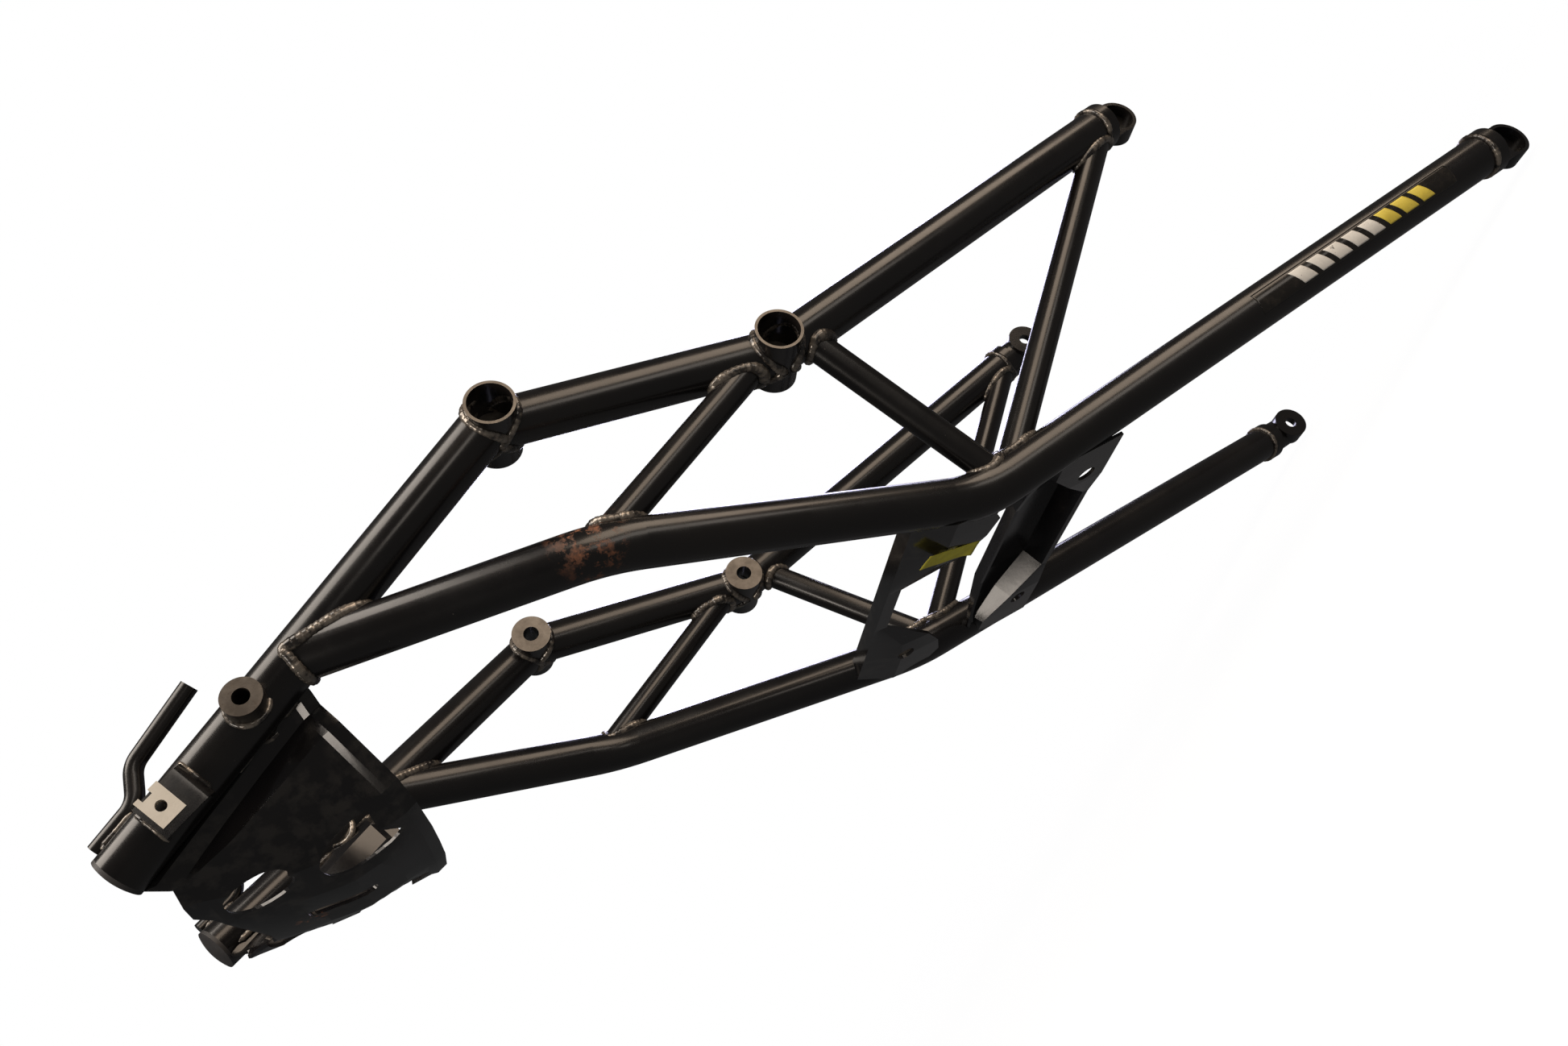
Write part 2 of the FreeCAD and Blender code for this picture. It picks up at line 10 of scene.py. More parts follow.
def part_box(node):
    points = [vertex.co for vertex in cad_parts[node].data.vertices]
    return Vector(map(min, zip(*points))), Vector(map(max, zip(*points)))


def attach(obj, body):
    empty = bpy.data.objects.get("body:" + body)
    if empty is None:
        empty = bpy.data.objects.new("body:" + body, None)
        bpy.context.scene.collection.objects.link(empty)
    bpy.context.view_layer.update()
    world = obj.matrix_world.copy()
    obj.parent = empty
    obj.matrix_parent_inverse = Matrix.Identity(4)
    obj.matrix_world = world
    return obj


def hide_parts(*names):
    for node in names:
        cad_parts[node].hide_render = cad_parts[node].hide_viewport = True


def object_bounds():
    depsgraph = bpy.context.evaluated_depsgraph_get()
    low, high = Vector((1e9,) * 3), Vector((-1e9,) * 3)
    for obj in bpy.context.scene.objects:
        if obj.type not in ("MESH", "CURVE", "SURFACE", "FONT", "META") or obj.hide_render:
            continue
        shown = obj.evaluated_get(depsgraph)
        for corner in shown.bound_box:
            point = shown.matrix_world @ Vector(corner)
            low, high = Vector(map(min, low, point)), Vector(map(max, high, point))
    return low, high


MM = 0.001
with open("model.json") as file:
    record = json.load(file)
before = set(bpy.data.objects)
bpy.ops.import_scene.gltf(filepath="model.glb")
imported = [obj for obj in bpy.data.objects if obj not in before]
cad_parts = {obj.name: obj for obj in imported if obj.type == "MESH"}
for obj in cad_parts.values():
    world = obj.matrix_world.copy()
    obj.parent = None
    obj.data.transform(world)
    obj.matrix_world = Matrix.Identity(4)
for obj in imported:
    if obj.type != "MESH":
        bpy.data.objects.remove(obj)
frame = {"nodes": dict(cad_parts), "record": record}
cad_low, cad_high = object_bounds()

# The joints of the space frame's left side in millimetres, the same as the CAD model's.
JOINTS = {
    "lower_front": (-24.7, 152.2, 9.6),
    "lower_bend": (-376.3, 94.6, 138.0),
    "lower_kink": (-532.7, 134.3, 259.4),
    "tail_joint": (-647.3, 99.7, 347.6),
    "upper_front": (-118.0, 118.3, 209.6),
    "front_bush": (-388.1, 129.3, 262.7),
    "rear_bush": (-509.1, 127.7, 346.2),
    "tail_start": (-509.1, 132.1, 347.3),
    "tail_end": (-758.6, 73.6, 346.8),
    "front_brace_top": (-120.4, 117.3, 205.3),
    "front_brace_foot": (-359.6, 97.4, 131.9),
    "middle_brace_top": (-371.1, 130.5, 259.4),
    "middle_brace_foot": (-359.8, 96.4, 132.0),
    "rear_brace_top": (-394.7, 128.7, 267.3),
    "rear_brace_foot": (-537.4, 131.6, 263.0),
    "tail_boss": (-676.6, 114.0, 345.7),
    "hook_start": (-757.9, 75.0, 361.5),
    "hook_rise": (-733.9, 79.5, 362.1),
}
# Radii of the round pieces, and the thickness of the pressed ones, in millimetres.
RAIL = 12.5
BRACE = 8.0
BUSH = 12.5
BOSS = 9.25
SHEET = 2.0
SIDES = (("left", 1), ("right", -1))
# The middles of the rusty spots, in millimetres.
RUST_ON_RAIL = (-536, -134.3, 266)
RUST_BY_SLOT = (-705, 0, 288)
RUST_ON_TRAY = (-724, 9, 294)
Y_AXIS = Vector((0, 1, 0))


def at(name):
    return Vector(JOINTS[name])


# ---------------------------------------------------------------- node materials

class Nodes:
    """A material's node tree with short ways to add and link its nodes."""

    def __init__(self, name):
        self.material = bpy.data.materials.new(name)
        self.material.use_nodes = True
        self.tree = self.material.node_tree
        self.shader = self.tree.nodes["Principled BSDF"]
        self.place = self.add("ShaderNodeTexCoord").outputs["Object"]

    def add(self, kind, **settings):
        made = self.tree.nodes.new(kind)
        for key, value in settings.items():
            setattr(made, key, value)
        return made

    def link(self, source, target):
        self.tree.links.new(source, target)

    def feed(self, value, target):
        """Link a socket, or set a plain value."""
        if isinstance(value, bpy.types.NodeSocket):
            self.link(value, target)
        else:
            target.default_value = value

    def noise(self, scale, detail=4.0, roughness=0.55, stretch=None):
        texture = self.add("ShaderNodeTexNoise")
        texture.inputs["Scale"].default_value = scale
        texture.inputs["Detail"].default_value = detail
        texture.inputs["Roughness"].default_value = roughness
        source = self.place
        if stretch:
            mapping = self.add("ShaderNodeMapping")
            mapping.inputs["Scale"].default_value = stretch
            self.link(source, mapping.inputs["Vector"])
            source = mapping.outputs["Vector"]
        self.link(source, texture.inputs["Vector"])
        return texture.outputs["Fac"]

    def ramp(self, value, low, high, start=0.0, end=1.0):
        """A clamped straight-line change of a value."""
        mapper = self.add("ShaderNodeMapRange")
        numbers = {"From Min": low, "From Max": high, "To Min": start, "To Max": end}
        for key, number in numbers.items():
            mapper.inputs[key].default_value = number
        self.link(value, mapper.inputs["Value"])
        return mapper.outputs["Result"]

    def math(self, operation, first, second=0.0):
        step = self.add("ShaderNodeMath", operation=operation)
        self.feed(first, step.inputs[0])
        self.feed(second, step.inputs[1])
        return step.outputs[0]

    def mix(self, amount, first, second):
        blend = self.add("ShaderNodeMix", data_type="RGBA")
        self.feed(amount, blend.inputs["Factor"])
        self.feed(first, blend.inputs["A"])
        self.feed(second, blend.inputs["B"])
        return blend.outputs["Result"]

    def bump(self, height, depth, strength=1.0):
        bump = self.add("ShaderNodeBump")
        bump.inputs["Strength"].default_value = strength
        bump.inputs["Distance"].default_value = depth
        self.link(height, bump.inputs["Height"])
        self.link(bump.outputs["Normal"], self.shader.inputs["Normal"])

    def edges(self, low, high):
        """Near 1 on sharp outer edges of the mesh."""
        geometry = self.add("ShaderNodeNewGeometry")
        return self.ramp(geometry.outputs["Pointiness"], low, high)

    def near(self, centre, radius, fade):
        """1 within a radius of a point, falling to 0 over the fade."""
        distance = self.add("ShaderNodeVectorMath", operation="DISTANCE")
        self.link(self.place, distance.inputs[0])
        distance.inputs[1].default_value = centre
        return self.ramp(distance.outputs["Value"], radius, radius + fade, 1.0, 0.0)

    def set(self, **values):
        """Feed the shader's inputs, named with _ for each space."""
        for key, value in values.items():
            self.feed(value, self.shader.inputs[key.replace("_", " ")])


def rgb(red, green, blue):
    return (red, green, blue, 1.0)


def rust_colour(nodes):
    """Mottled brown and orange rust."""
    mottle = nodes.ramp(nodes.noise(420, 6, 0.65), 0.35, 0.68)
    return nodes.mix(mottle, rgb(0.06, 0.028, 0.016), rgb(0.34, 0.13, 0.06))


def gloss_paint():
    """Gloss black enamel with fine orange peel, dust and worn, rusty spots."""
    nodes = Nodes("gloss_black_paint")
    cloud = nodes.ramp(nodes.noise(9, 3), 0.3, 0.7)
    paint = nodes.mix(cloud, rgb(0.004, 0.0037, 0.0042), rgb(0.008, 0.007, 0.0065))
    dust = nodes.ramp(nodes.noise(55, 8, 0.7), 0.58, 0.85, 0.0, 0.08)
    paint = nodes.mix(dust, paint, rgb(0.04, 0.034, 0.03))
    specks = nodes.ramp(nodes.noise(620, 2, 0.5), 0.80, 0.82)
    paint = nodes.mix(specks, paint, rgb(0.12, 0.11, 0.10))
    kink = Vector(RUST_ON_RAIL) * MM
    broken = nodes.ramp(nodes.noise(150, 8, 0.72), 0.50, 0.57)
    patch = nodes.math("MULTIPLY", nodes.near(kink, 0.008, 0.014), broken)
    hole = Vector(RUST_BY_SLOT) * MM
    spots = nodes.math("MULTIPLY", nodes.near(hole, 0.004, 0.008), broken)
    worn = nodes.math("MAXIMUM", patch, spots)
    colour = nodes.mix(worn, paint, rust_colour(nodes))
    peel = nodes.noise(330, 2, 0.5)
    grime = nodes.ramp(nodes.noise(28, 6, 0.65), 0.38, 0.72)
    shine = nodes.ramp(grime, 0.0, 1.0, 0.23, 0.34)
    roughness = nodes.math("ADD", shine, nodes.math("MULTIPLY", worn, 0.4))
    nodes.set(Base_Color=colour, Roughness=roughness)
    nodes.set(Specular_IOR_Level=0.5)
    nodes.set(Coat_Weight=0.2)
    nodes.set(Coat_Roughness=0.1)
    height = nodes.math("SUBTRACT", peel, nodes.math("MULTIPLY", worn, 6.0))
    nodes.bump(height, 0.00002, 0.2)
    return nodes.material


def pressed_paint():
    """Gloss black paint on pressed steel: dusty flats, sharp edges and folds painted lighter (partly a
    painted highlight along the creases, partly worn paint), a spot of rust.
    """
    nodes = Nodes("satin_black_paint")
    cloud = nodes.ramp(nodes.noise(14, 5, 0.6), 0.3, 0.72)
    paint = nodes.mix(cloud, rgb(0.004, 0.004, 0.005), rgb(0.008, 0.0075, 0.0078))
    dust = nodes.ramp(nodes.noise(80, 8, 0.72), 0.58, 0.86, 0.0, 0.07)
    paint = nodes.mix(dust, paint, rgb(0.05, 0.045, 0.04))
    uneven = nodes.ramp(nodes.noise(120, 6), 0.45, 0.6)
    # Sharp edges and folds are painted lighter: a painted highlight along the creases, mixed with some worn
    # paint.
    worn_and_highlit_edges = nodes.math("MULTIPLY", nodes.edges(0.54, 0.62), uneven)
    paint = nodes.mix(nodes.math("MULTIPLY", worn_and_highlit_edges, 0.55), paint, rgb(0.03, 0.028, 0.026))
    broken = nodes.ramp(nodes.noise(210, 8, 0.72), 0.52, 0.58)
    spot = Vector(RUST_ON_TRAY) * MM
    worn = nodes.math("MULTIPLY", nodes.near(spot, 0.003, 0.007), broken)
    colour = nodes.mix(worn, paint, rust_colour(nodes))
    grime = nodes.ramp(nodes.noise(34, 6, 0.65), 0.35, 0.72)
    nodes.set(Base_Color=colour, Roughness=nodes.ramp(grime, 0.0, 1.0, 0.12, 0.22))
    nodes.set(Specular_IOR_Level=0.5)
    nodes.set(Coat_Weight=0.25)
    nodes.set(Coat_Roughness=0.14)
    height = nodes.math("ADD", nodes.noise(260, 2), nodes.math("MULTIPLY", nodes.noise(18, 2), 3.0))
    nodes.bump(height, 0.00005, 0.5)
    return nodes.material


def cap_paint():
    """Matte dark grey on the closed ends of the tail tubes."""
    nodes = Nodes("matte_grey_paint")
    mottle = nodes.ramp(nodes.noise(60, 7, 0.7), 0.35, 0.7)
    colour = nodes.mix(mottle, rgb(0.026, 0.026, 0.029), rgb(0.05, 0.048, 0.048))
    nodes.set(Base_Color=colour, Roughness=nodes.ramp(nodes.noise(90, 5), 0.3, 0.7, 0.42, 0.6))
    nodes.bump(nodes.noise(520, 4), 0.0001, 0.5)
    return nodes.material


def bush_steel():
    """Bare turned steel gone grey-brown, with turning marks and stains."""
    nodes = Nodes("bare_turned_steel")
    stain = nodes.ramp(nodes.noise(65, 8, 0.7), 0.36, 0.68)
    colour = nodes.mix(stain, rgb(0.06, 0.053, 0.046), rgb(0.13, 0.118, 0.105))
    pits = nodes.ramp(nodes.noise(330, 6, 0.7), 0.6, 0.7)
    colour = nodes.mix(nodes.math("MULTIPLY", pits, 0.7), colour, rgb(0.06, 0.045, 0.035))
    nodes.set(Base_Color=colour, Metallic=0.85)
    nodes.set(Roughness=nodes.ramp(nodes.noise(140, 6), 0.3, 0.7, 0.34, 0.55))
    nodes.bump(nodes.noise(900, 3), 0.00006, 0.6)
    return nodes.material


def bush_paint():
    """Gloss black outside a bush, worn to bare steel on its edges and end faces."""
    nodes = Nodes("bush_black_paint")
    cloud = nodes.ramp(nodes.noise(30, 4), 0.3, 0.7)
    paint = nodes.mix(cloud, rgb(0.0065, 0.006, 0.0066), rgb(0.015, 0.013, 0.012))
    stain = nodes.ramp(nodes.noise(90, 8, 0.7), 0.36, 0.68)
    steel = nodes.mix(stain, rgb(0.07, 0.06, 0.05), rgb(0.16, 0.145, 0.127))
    geometry = nodes.add("ShaderNodeNewGeometry")
    split = nodes.add("ShaderNodeSeparateXYZ")
    nodes.link(geometry.outputs["Normal"], split.inputs[0])
    facing = nodes.math("ABSOLUTE", split.outputs["Y"])
    ragged = nodes.ramp(nodes.noise(160, 6), 0, 1, -0.15, 0.15)
    face = nodes.ramp(nodes.math("ADD", facing, ragged), 0.82, 0.9)
    nodes.set(Base_Color=nodes.mix(face, paint, steel))
    nodes.set(Metallic=nodes.math("MULTIPLY", face, 0.8))
    nodes.set(Roughness=nodes.ramp(face, 0.0, 1.0, 0.22, 0.46))
    nodes.set(Coat_Weight=0.3)
    nodes.set(Coat_Roughness=0.15)
    nodes.bump(nodes.noise(420, 3), 0.0001, 0.4)
    return nodes.material


def zinc_plate():
    """Pale plating with brush marks and finger stains."""
    nodes = Nodes("bright_zinc_plate")
    stain = nodes.ramp(nodes.noise(75, 7, 0.65), 0.35, 0.72)
    colour = nodes.mix(stain, rgb(0.95, 0.90, 0.80), rgb(0.82, 0.77, 0.67))
    nodes.set(Base_Color=colour, Metallic=0.1)
    brushed = nodes.noise(420, 4, 0.6, stretch=(1, 1, 7))
    nodes.set(Roughness=nodes.ramp(brushed, 0.3, 0.7, 0.26, 0.42))
    nodes.bump(brushed, 0.00004, 0.5)
    return nodes.material


def weld_paint():
    """Painted weld bead: glossy black with worn, brownish-silver crests."""
    nodes = Nodes("painted_weld_bead")
    uneven = nodes.ramp(nodes.noise(150, 5), 0.42, 0.60)
    crest = nodes.math("MULTIPLY", nodes.edges(0.50, 0.56), uneven)
    stain = nodes.ramp(nodes.noise(120, 7, 0.7), 0.4, 0.66)
    paint = nodes.mix(stain, rgb(0.010, 0.009, 0.009), rgb(0.034, 0.028, 0.023))
    colour = nodes.mix(crest, paint, rgb(0.30, 0.265, 0.225))
    nodes.set(Base_Color=colour, Metallic=nodes.math("MULTIPLY", crest, 0.7))
    nodes.set(Roughness=nodes.ramp(nodes.noise(240, 6), 0.3, 0.7, 0.18, 0.36))
    nodes.set(Coat_Weight=0.5)
    nodes.set(Coat_Roughness=0.12)
    nodes.bump(nodes.noise(420, 3, 0.5), 0.0002, 0.25)
    return nodes.material


def vinyl(name, light, dark):
    """Printed vinyl, scuffed through to black in places."""
    nodes = Nodes(name)
    fade = nodes.ramp(nodes.noise(60, 6, 0.65), 0.35, 0.7)
    colour = nodes.mix(fade, rgb(*light), rgb(*dark))
    scuff = nodes.ramp(nodes.noise(300, 7, 0.7), 0.635, 0.68)
    nodes.set(Base_Color=nodes.mix(scuff, colour, rgb(0.02, 0.018, 0.016)))
    nodes.set(Roughness=nodes.ramp(nodes.noise(150, 5), 0.3, 0.7, 0.28, 0.44))
    nodes.bump(nodes.noise(500, 4), 0.00005, 0.5)
    return nodes.material


def clear_film():
    """Old clear film over the paint: glossy, a little brown, with dust under it."""
    nodes = Nodes("clear_film")
    dust = nodes.ramp(nodes.noise(130, 8, 0.7), 0.5, 0.8)
    nodes.set(Base_Color=nodes.mix(dust, rgb(0.011, 0.010, 0.009), rgb(0.035, 0.03, 0.025)))
    nodes.set(Roughness=nodes.ramp(nodes.noise(60, 5), 0.3, 0.7, 0.10, 0.24))
    nodes.bump(nodes.noise(190, 4), 0.00003, 0.5)
    return nodes.material


def tape_paper():
    """Yellow paper tape with fine crepe and grubby edges."""
    nodes = Nodes("yellow_tape")
    crepe = nodes.noise(900, 3, 0.6, stretch=(1, 0.25, 1))
    grub = nodes.ramp(nodes.noise(70, 6, 0.65), 0.38, 0.72)
    colour = nodes.mix(grub, rgb(0.74, 0.69, 0.07), rgb(0.52, 0.46, 0.05))
    nodes.set(Base_Color=colour, Roughness=nodes.ramp(crepe, 0.3, 0.7, 0.55, 0.78))
    nodes.bump(crepe, 0.00012, 0.7)
    return nodes.material


MATERIALS = {
    "gloss_paint": gloss_paint(),
    "pressed_paint": pressed_paint(),
    "cap_paint": cap_paint(),
    "bush_steel": bush_steel(),
    "zinc_plate": zinc_plate(),
    "weld_bead": weld_paint(),
    "decal_white": vinyl("white_vinyl", (0.80, 0.79, 0.75), (0.60, 0.59, 0.56)),
    "decal_yellow": vinyl("yellow_vinyl", (0.80, 0.66, 0.10), (0.60, 0.48, 0.07)),
    "tape_yellow": tape_paper(),
}
BUSH_PAINT = bush_paint()


def soft_edges(piece, width, segments, degrees):
    """Round the edges that turn by more than some degrees, by a width in millimetres."""
    soften = piece.modifiers.new("soft_edges", "BEVEL")
    soften.width = width * MM
    soften.segments = segments
    soften.limit_method = "ANGLE"
    soften.angle_limit = math.radians(degrees)
    return soften


def dress_frame():
    """Give each CAD node its finish and, where it helps, softened edges."""
    slots = {entry["node"]: entry["material_slot"] for entry in frame["record"]["subparts"]}
    for name, node in frame["nodes"].items():
        finish = MATERIALS[slots[name]]
        if name.startswith(("front_bush", "rear_bush")):
            finish = BUSH_PAINT
        for index in range(max(1, len(node.material_slots))):
            if node.material_slots:
                node.material_slots[index].material = finish
            else:
                node.data.materials.append(finish)
        pressed = slots[name] == "pressed_paint"
        soften = soft_edges(node, 1.6 if pressed else 0.5, 3 if pressed else 2, 35)
        soften.use_clamp_overlap = True
        soften.harden_normals = False


def new_piece(name, vertices, faces, slot):
    """A smooth mesh, given in millimetres, that rides on the frame with a record slot."""
    mesh = bpy.data.meshes.new(name)
    mesh.from_pydata([Vector(v) * MM for v in vertices], [], faces)
    mesh.polygons.foreach_set("use_smooth", [True] * len(mesh.polygons))
    mesh.update()
    piece = bpy.data.objects.new(name, mesh)
    bpy.context.scene.collection.objects.link(piece)
    piece.data.materials.append(MATERIALS[slot])
    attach(piece, "root")
    return piece


# ---------------------------------------------------------------- weld beads

# Millimetres between a bead's rings, the sides of each ring, and the height of the ripples as a
# share of the bead's radius.
BEAD_STEP = 0.55
BEAD_SIDES = 10
BEAD_RIPPLE = 0.11
# Brace and tube beads are this much wider than the sizes listed for them.
BEAD_SPREAD = 1.2
THIN_BEAD = 1.5
# How far back along the tail tube its boss sits, as a share of the tube.
BOSS_SHARE = 0.672
# Each hook rod's beads sit this far out from its middle line, and this far below it.
HOOK_OUT = 4.3
HOOK_BELOW = 3.2
HOOK_BEAD_SHARES = (0.08, 0.35, 0.62, 0.85)
# Each clip bracket's beads turn about the tail tube from this angle by this much, in degrees.
CLIP_BEAD_START = -62
CLIP_BEAD_TURN = 95
# The tray's beads start and end this far ahead of the tail tube's end, and lie on the tube's
# inner lower side.
TRAY_BEADS = ((8, 30), (52, 72), (88, 101))
TRAY_BEAD_IN = 9.2
TRAY_BEAD_BELOW = 9.0
# Where the beads along each crossmember's ends start and end.
CROSSMEMBER_BEADS = (("rear_crossmember", -392, -374), ("front_crossmember", -334, -300))
# A bead on a pressed piece may lie this far outside the piece's box, in metres.
BEAD_ALLOWANCE = 0.012


def even_steps(points, closed, step):
    """Points at an even spacing along a polyline."""
    loop = points + points[:1] if closed else points
    lengths = [(b - a).length for a, b in zip(loop, loop[1:])]
    total = sum(lengths)
    count = max(4, round(total / step))
    result, edge, walked = [], 0, 0.0
    for number in range(count if closed else count + 1):
        target = total * number / count
        while edge < len(lengths) - 1 and walked + lengths[edge] < target:
            walked += lengths[edge]
            edge += 1
        share = (target - walked) / max(lengths[edge], 1e-6)
        result.append(loop[edge].lerp(loop[edge + 1], min(1.0, share)))
    return result, total / count


def bead_scale(run, pitch, phases):
    """How much wider or narrower a bead is at a distance along it: ripples and two slow swells."""
    wave = (run / pitch + 0.12 * math.sin(run / 7 + phases[0])) % 1.0
    swell = 0.14 * math.sin(run / 4.3 + phases[1])
    slow_swell = 0.07 * math.sin(run / 9.1 + phases[2])
    return 1 + BEAD_RIPPLE * (0.5 - wave) + swell + slow_swell


def bead(name, points, radius, seed, closed=True):
    """A weld bead swept along a line: overlapping ripples, lumps and tapering ends."""
    draw = random.Random(seed)
    path, step = even_steps(points, closed, BEAD_STEP)
    pitch = draw.uniform(2.3, 3.1)
    phases = [draw.uniform(0, math.tau) for _ in range(4)]
    sides = BEAD_SIDES
    vertices = []
    count = len(path)
    for number, point in enumerate(path):
        ahead = path[(number + 1) % count] if closed else path[min(number + 1, count - 1)]
        behind = path[number - 1] if closed or number else path[0]
        tangent = (ahead - behind).normalized()
        across = tangent.cross(Y_AXIS)
        if across.length < 0.15:
            across = tangent.cross(Vector((1, 0, 0)))
        across.normalize()
        up = across.cross(tangent)
        run = number * step
        scale = bead_scale(run, pitch, phases) + draw.uniform(-0.02, 0.02)
        if not closed:
            nearest = min(run, (count - 1) * step - run)
            scale *= min(1.0, 0.25 + nearest / (2.2 * radius))
        for side in range(sides):
            angle = math.tau * side / sides
            offset = across * math.cos(angle) + up * math.sin(angle)
            vertices.append(point + offset * radius * scale)
    faces = []
    rows = count if closed else count - 1
    for row in range(rows):
        for side in range(sides):
            a = row * sides + side
            b = row * sides + (side + 1) % sides
            c = (row + 1) % count * sides + (side + 1) % sides
            d = (row + 1) % count * sides + side
            faces.append((a, d, c, b))
    if not closed:
        faces.append(tuple(range(sides)))
        faces.append(tuple(reversed(range((count - 1) * sides, count * sides))))
    return new_piece(name, vertices, faces, "weld_bead")


def flipped(points, side):
    """Points of the left side, moved to the side asked for."""
    return [Vector((p.x, p.y * side, p.z)) for p in points]


def both_beads(name, points, radius, seed, closed=True):
    """The same bead on the left and on the right, each with its own lumps."""
    for offset, (side_name, side) in enumerate(SIDES):
        bead(f"weld_{name}_{side_name}", flipped(points, side), radius, seed + 500 * offset, closed)


def square_to(direction):
    """Two directions at right angles to one direction and to each other."""
    first = direction.cross(Vector((0.3, 0.2, 0.9))).normalized()
    return first, direction.cross(first)


def meeting(start, end, radius, axis_point, axis_direction, other_radius):
    """Where the tube from start to end meets a cylinder near its end, as a closed line."""
    direction = (end - start).normalized()
    first, second = square_to(direction)
    axis = axis_direction.normalized()
    points = []
    for number in range(72):
        angle = math.tau * number / 72
        foot = end + (first * math.cos(angle) + second * math.sin(angle)) * radius
        offset = foot - axis_point
        a = direction - axis * direction.dot(axis)
        b = offset - axis * offset.dot(axis)
        quad, half, rest = a.dot(a), a.dot(b), b.dot(b) - other_radius ** 2
        inside = max(0.0, half * half - quad * rest)
        points.append(foot + direction * ((-half - math.sqrt(inside)) / quad))
    return points


def ring(centre, direction, radius):
    """A circle of points about an axis."""
    first, second = square_to(direction.normalized())
    turns = [math.tau * number / 60 for number in range(60)]
    return [centre + (first * math.cos(t) + second * math.sin(t)) * radius for t in turns]


def tube_welds():
    """Beads where tubes, bushes, lugs and bosses meet."""
    lower = at("lower_bend") - at("lower_front")
    middle = at("lower_kink") - at("lower_bend")
    upper = at("front_bush") - at("upper_front")
    sloping = at("rear_bush") - at("front_bush")
    tail = at("tail_end") - at("tail_start")
    # Name, tube's far and near ends and radius, then what it meets: a point, an axis and a radius.
    joints = [
        ("front_bush_ahead", "upper_front", "front_bush", RAIL, "front_bush", Y_AXIS, BUSH, 1.9),
        ("front_bush_behind", "rear_bush", "front_bush", RAIL, "front_bush", Y_AXIS, BUSH, 1.9),
        ("rear_bush_ahead", "front_bush", "rear_bush", RAIL, "rear_bush", Y_AXIS, BUSH, 1.9),
        ("rear_bush_behind", "tail_end", "tail_start", RAIL, "rear_bush", Y_AXIS, BUSH, 1.9),
        ("front_brace_top", "front_brace_foot", "front_brace_top", BRACE, "upper_front", upper, RAIL, 2.0),
        ("front_brace_foot", "front_brace_top", "front_brace_foot", BRACE, "lower_front", lower, RAIL, 2.1),
        ("middle_brace_top", "middle_brace_foot", "middle_brace_top", BRACE, "front_bush", upper, RAIL, 2.5),
        (
            "middle_brace_foot", "middle_brace_top", "middle_brace_foot", BRACE,
            "lower_bend", lower, RAIL, 2.4,
        ),
        ("rear_brace_top", "rear_brace_foot", "rear_brace_top", BRACE, "front_bush", sloping, RAIL, 2.7),
        ("rear_brace_foot", "rear_brace_top", "rear_brace_foot", BRACE, "lower_kink", middle, RAIL, 2.1),
        ("lower_rail_tail", "lower_kink", "tail_joint", RAIL, "tail_end", tail, RAIL, 2.3),
    ]
    for seed, (name, start, end, radius, axis, direction, other, size) in enumerate(joints):
        points = meeting(at(start), at(end), radius, at(axis), direction, other)
        both_beads(name, points, size * BEAD_SPREAD, seed)
    collars = [("lower", "lower_front", "lower_bend"), ("upper", "upper_front", "front_bush")]
    for seed, (name, tube_end, tube_far) in enumerate(collars):
        back = (at(tube_far) - at(tube_end)).normalized()
        seam = ring(at(tube_end) + back, back, RAIL + 0.5)
        both_beads(f"{name}_collar_rear", seam, THIN_BEAD, 40 + seed)
    for name, face in (("outer", 1), ("inner", -1)):
        tube_middle = at("tail_start").lerp(at("tail_end"), BOSS_SHARE)
        centre = Vector((at("tail_boss").x, tube_middle.y + RAIL * 0.88 * face, at("tail_boss").z))
        both_beads(f"tail_boss_{name}", ring(centre, Y_AXIS, BOSS + 0.3), THIN_BEAD, 60 + face)
    back = tail.normalized()
    both_beads("tail_cap", ring(at("tail_end") + back * 0.1, back, RAIL - 0.9), THIN_BEAD / 2, 70)


def hook_welds():
    """Tacks along both sides of each hook rod, where it lies on the tail tube."""
    start, end = at("hook_start"), at("hook_rise")
    for name, side_of_rod in (("inner", -1), ("outer", 1)):
        shift = Vector((0, side_of_rod * HOOK_OUT, -HOOK_BELOW))
        points = [start.lerp(end, share) + shift for share in HOOK_BEAD_SHARES]
        both_beads(f"hook_{name}", points, THIN_BEAD, 80 + side_of_rod, closed=False)


def edge_weld(name, node, points, radius, seed):
    """A bead on one pressed piece, checked against the piece's own box."""
    low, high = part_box(node)
    for point in points:
        place = point * MM
        for axis in range(3):
            if not low[axis] - BEAD_ALLOWANCE <= place[axis] <= high[axis] + BEAD_ALLOWANCE:
                raise ValueError(f"{name} is off {node}")
    bead(name, points, radius, seed, closed=False)


def clip_welds():
    """Beads round each clip bracket's foot on the tail tube."""
    tail = (at("tail_end") - at("tail_start")).normalized()
    reach = RAIL + 0.2
    for side_name, side in SIDES:
        node = f"clip_bracket_{side_name}"
        low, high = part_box(node)
        for end_name, x in (("rear", low[0] / MM), ("front", high[0] / MM)):
            centre = at("tail_end") + tail * ((x - at("tail_end").x) / tail.x)
            points = []
            for step in range(9):
                angle = math.radians(CLIP_BEAD_START + CLIP_BEAD_TURN * step / 8)
                y = centre.y + math.cos(angle) * reach
                z = centre.z + math.sin(angle) * reach
                points.append(Vector((x, y * side, z)))
            seed = 90 + side + len(end_name)
            edge_weld(f"weld_clip_{end_name}_{side_name}", node, points, 1.4, seed)


def tray_welds():
    """Short runs that hold the tray's rims to the tail tubes."""
    end_point = at("tail_end")
    tail = at("tail_start") - end_point
    for side_name, side in SIDES:
        for number, (start, end) in enumerate(TRAY_BEADS):
            points = []
            for step in range(8):
                ahead = start + (end - start) * step / 7
                y = end_point.y + tail.y / tail.x * ahead - TRAY_BEAD_IN
                points.append(Vector((end_point.x + ahead, y * side, end_point.z - TRAY_BEAD_BELOW)))
            seed = 110 + number + side
            edge_weld(f"weld_tray_{number}_{side_name}", "tail_box", points, 1.6, seed)


